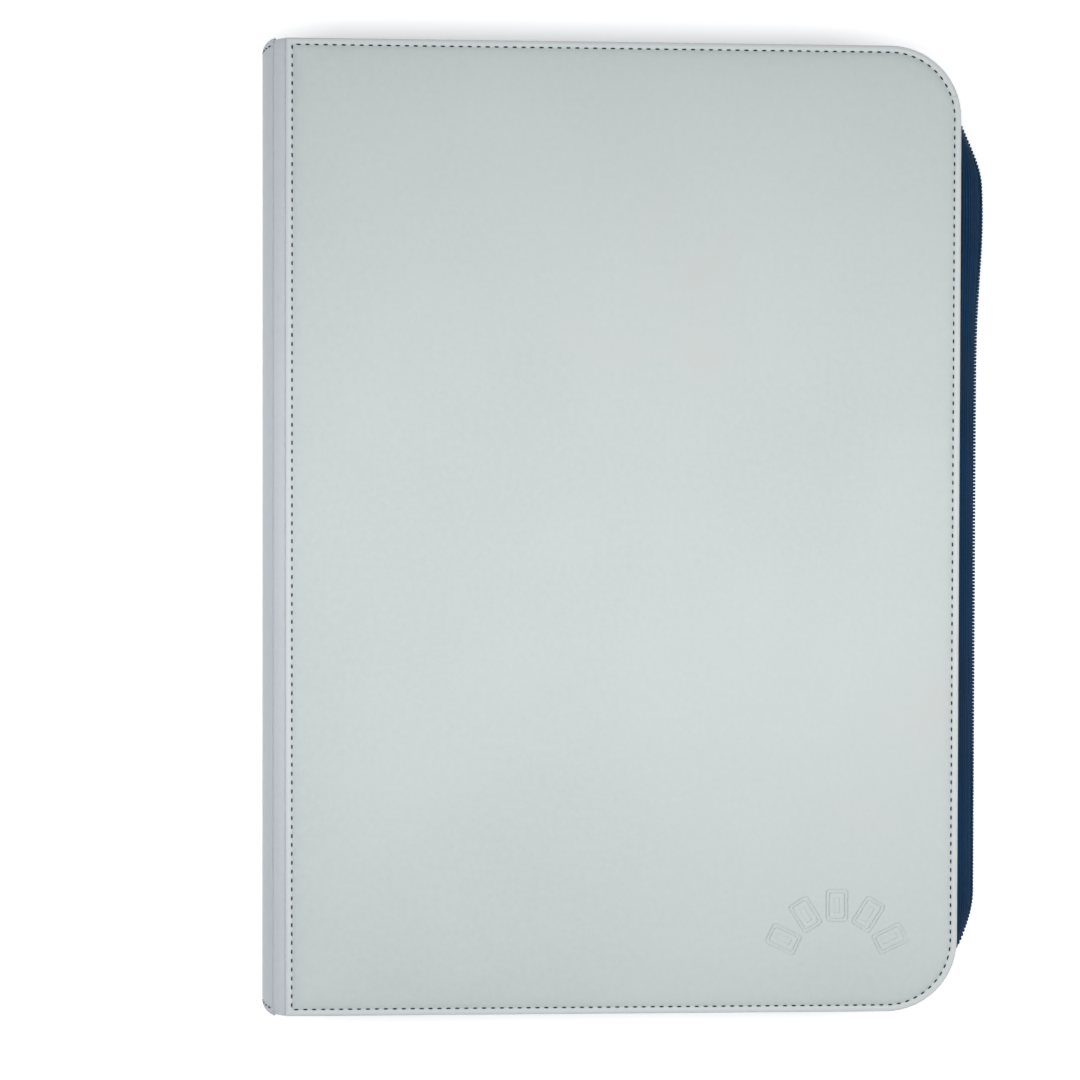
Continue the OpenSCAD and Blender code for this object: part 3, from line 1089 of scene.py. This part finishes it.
def gussets():
    """Both halves. The front cover's coil sits half a pitch on, so the turns mesh."""
    lower = gusset_tape()
    upper = turned_over(lower, "gusset_upper_tape")
    lower_coil = coil_row("zip_coil_lower_turns", 0)
    shifted_coil = coil_row("coil_to_turn", 0.5)
    upper_coil = turned_over(shifted_coil, "zip_coil_upper_turns")
    bpy.data.objects.remove(shifted_coil)
    for tape, coil, body, side, skin in (
        (lower, lower_coil, "back_cover", "lower", "back_cover_leather"),
        (upper, upper_coil, "front_cover", "upper", "front_cover_leather"),
    ):
        TAPE.coat(tape)
        COIL.coat(coil)
        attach(tape, body)
        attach(coil, body)
        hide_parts(f"gusset_{side}")
        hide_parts(f"zip_coil_{side}")


gussets()


def slider():
    """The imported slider, pin, pull, end stops and end tabs, with their edges softened."""
    low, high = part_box("slider_body")
    body = softened("slider_body", "slider_head", 0.28 * MM, 3)
    wide_part, taper = 0.35, 0.36
    for vertex in body.data.vertices:
        narrow = 1 - taper * ease((vertex.co.x - low.x) / (high.x - low.x) - wide_part)
        vertex.co.z = MID_Z + (vertex.co.z - MID_Z) * narrow
    pin = softened("slider_pin", "slider_hinge_pin", 0.1 * MM)
    link = softened("pull_link", "pull_metal_link", 0.18 * MM)
    grip = softened("pull_grip", "pull_rubber_grip", 0.45 * MM, 3)
    broad = 50 * MM * MM
    open_where(grip, "FACE", lambda p: abs(p.normal.y) > 0.9 and p.area > broad)
    bpy.ops.mesh.inset(thickness=0.9 * MM, depth=-0.12 * MM, use_individual=True)
    bpy.ops.mesh.inset(thickness=0.25 * MM, depth=-0.2 * MM, use_individual=True)
    close_mesh()
    smooth(grip)
    stops = softened("zip_end_stops", "zip_end_clips", 0.15 * MM)
    tabs = softened("zip_end_tabs", "zip_end_fabric_tabs", 0.3 * MM, 3)
    for piece, finish, riding, slot in (
        (body, METAL, "slider", "zip_metal"), (pin, METAL, "slider", "zip_metal"),
        (link, METAL, "pull", "zip_metal"), (grip, RUBBER, "pull", "pull_rubber"),
        (stops, METAL, "back_cover", "zip_metal"), (tabs, TAPE, "spine", "gusset_fabric"),
    ):
        finish.coat(piece)
        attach(piece, riding)


slider()


# ---------------------------------------------------------------- leaves


LEAVES = 12
COLUMNS = ROWS = 3
COLUMN_PITCH, ROW_PITCH = 75.7 * MM, 97.8 * MM
BINDING_STRIP, WELD_W = 3 * MM, 2.4 * MM
LEAF_EDGE = 2.3 * MM
DOT_PITCH, DOT_INSET = 3.0 * MM, 1.9 * MM
MARGIN_T = 0.54 * MM


def leaf_sheet(low, high):
    """The dark backing sheet, with its corners rounded."""
    sheet = plane("leaf_sheet", (low.x, low.y), (high.x, high.y), low.z)
    round_corners(sheet, lambda co: co.x > 0, 3 * MM, 6)
    open_mesh(sheet)
    extrude(0, 0, high.z - low.z)
    close_mesh()
    return smooth(face_out(sheet))


def film_panels(low, high, film_t):
    """Clear film on both faces: each column is a panel whose outer face is a little smaller."""
    end_gap, lift = 0.3 * MM, 0.02 * MM
    panels = []
    for column in range(COLUMNS):
        x0 = low.x + BINDING_STRIP + WELD_W / 2 + column * COLUMN_PITCH
        x1 = x0 + COLUMN_PITCH - WELD_W
        for z, up in ((high.z, 1), (low.z, -1)):
            panel = plane("film", (x0, low.y + end_gap), (x1, high.y - end_gap), z + up * lift)
            round_corners(panel, lambda co: True, 1.6 * MM, 4)
            open_mesh(panel)
            extrude(0, 0, film_t * 0.5 * up)
            bpy.ops.transform.resize(value=(0.992, 0.998, 1))
            close_mesh()
            panels.append(face_out(panel))
    return smooth(joined("leaf_film", panels))


def weld_dots(low, high):
    """Dotted welds: along each column's closed side, and across at every row."""
    bpy.ops.mesh.primitive_cone_add(vertices=6, radius1=0.55 * MM, radius2=0.32 * MM, depth=0.14 * MM)
    dot = settle(named("weld_dot"))
    height, row_gap = 0.2 * MM, 3 * MM
    run = high.y - low.y - 2 * LEAF_EDGE
    run_count = round(run / DOT_PITCH)
    across = COLUMN_PITCH - WELD_W - 2 * row_gap
    across_count = round(across / DOT_PITCH)
    spots = []
    for column in range(COLUMNS):
        x0 = low.x + BINDING_STRIP + column * COLUMN_PITCH
        closed_x = x0 + DOT_INSET if column < COLUMNS - 1 else x0 + COLUMN_PITCH - DOT_INSET
        first_x = x0 + WELD_W / 2 + row_gap
        spots += [(closed_x, low.y + LEAF_EDGE + run * i / run_count) for i in range(run_count + 1)]
        for row in range(ROWS + 1):
            y = low.y + LEAF_EDGE + row * ROW_PITCH
            spots += [(first_x + across * i / across_count, y) for i in range(across_count + 1)]
    places = []
    for x, y in spots:
        places.append(Matrix.Translation((x, y, high.z + height)))
        places.append(Matrix.Translation((x, y, low.z - height)) @ Matrix.Rotation(math.pi, 4, "X"))
    return repeated(dot, "leaf_welds", places)


def leaf_margin(low, high):
    """The dark strip between the binding and the leaf."""
    start_x, width = low.x - 1.1 * MM, BINDING_STRIP + 0.6 * MM
    top = (low.z + high.z) / 2 + MARGIN_T / 2

    def place(u, v):
        return Vector((start_x + u * width, low.y + v * (high.y - low.y), top))

    strip = bent_grid("leaf_margin", 14, 24, place)
    face_along(strip, 0, 0, 1)
    modify(strip, "SOLIDIFY", thickness=MARGIN_T, offset=-1)
    return smooth(strip)


def margin_stitches(low, high):
    """The row of stitches that holds the leaf in its margin."""
    x, end_gap, pitch, proud = low.x + 1.5 * MM, 2 * MM, 4 * MM, 0.12 * MM
    run = [Vector((x, low.y + end_gap, 0)), Vector((x, high.y - end_gap, 0))]
    places = []
    for place, along in walk(run, pitch):
        for z in (high.z + proud, low.z - proud):
            places.append(facing(place + Vector((0, 0, z)), along))
    return repeated(stitch(), "leaf_stitches", places)


def leaves():
    """The first leaf's parts, copied to every leaf. All but the margin turn rigidly."""
    first_low, first_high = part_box("leaf_01_sheet")
    film_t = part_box("leaf_01_pockets")[1].z - first_high.z
    models = (
        ("sheet", leaf_sheet(first_low, first_high), SHEET, "leaf_sheet"),
        ("film", film_panels(first_low, first_high, film_t), FILM, "clear_film"),
        ("welds", weld_dots(first_low, first_high), WELD, "clear_film"),
        ("margin", leaf_margin(first_low, first_high), BINDING, "binding"),
        ("stitches", margin_stitches(first_low, first_high), THREAD, "binding"),
    )
    for number in range(1, LEAVES + 1):
        leaf = f"leaf_{number:02d}"
        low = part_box(f"{leaf}_sheet")[0]
        for part, model, finish, slot in models:
            piece = copy_of(model, f"{leaf}_{part}_piece", Matrix.Translation(low - first_low))
            finish.coat(piece)
            if part == "margin":
                start, end = (low.x - 0.8 * MM, 0, low.z), (low.x + 0.3 * MM, 0, low.z)
                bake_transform(piece)
                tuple(start)
                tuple(end)
            else:
                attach(piece, leaf)
            if part == "sheet":
                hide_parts(f"{leaf}_sheet")
            if part == "film":
                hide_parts(f"{leaf}_pockets")
    for _, model, _, _ in models:
        bpy.data.objects.remove(model)


leaves()


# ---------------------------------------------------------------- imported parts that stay


for finish, nodes in (
    (BOARD, ("back_cover_board", "front_cover_board", "spine_board")),
    (LINING, ("back_cover_lining", "front_cover_lining", "spine_lining")),
    (BINDING, ("binding_block",)),
):
    finish.coat(*(frame["nodes"][node] for node in nodes))
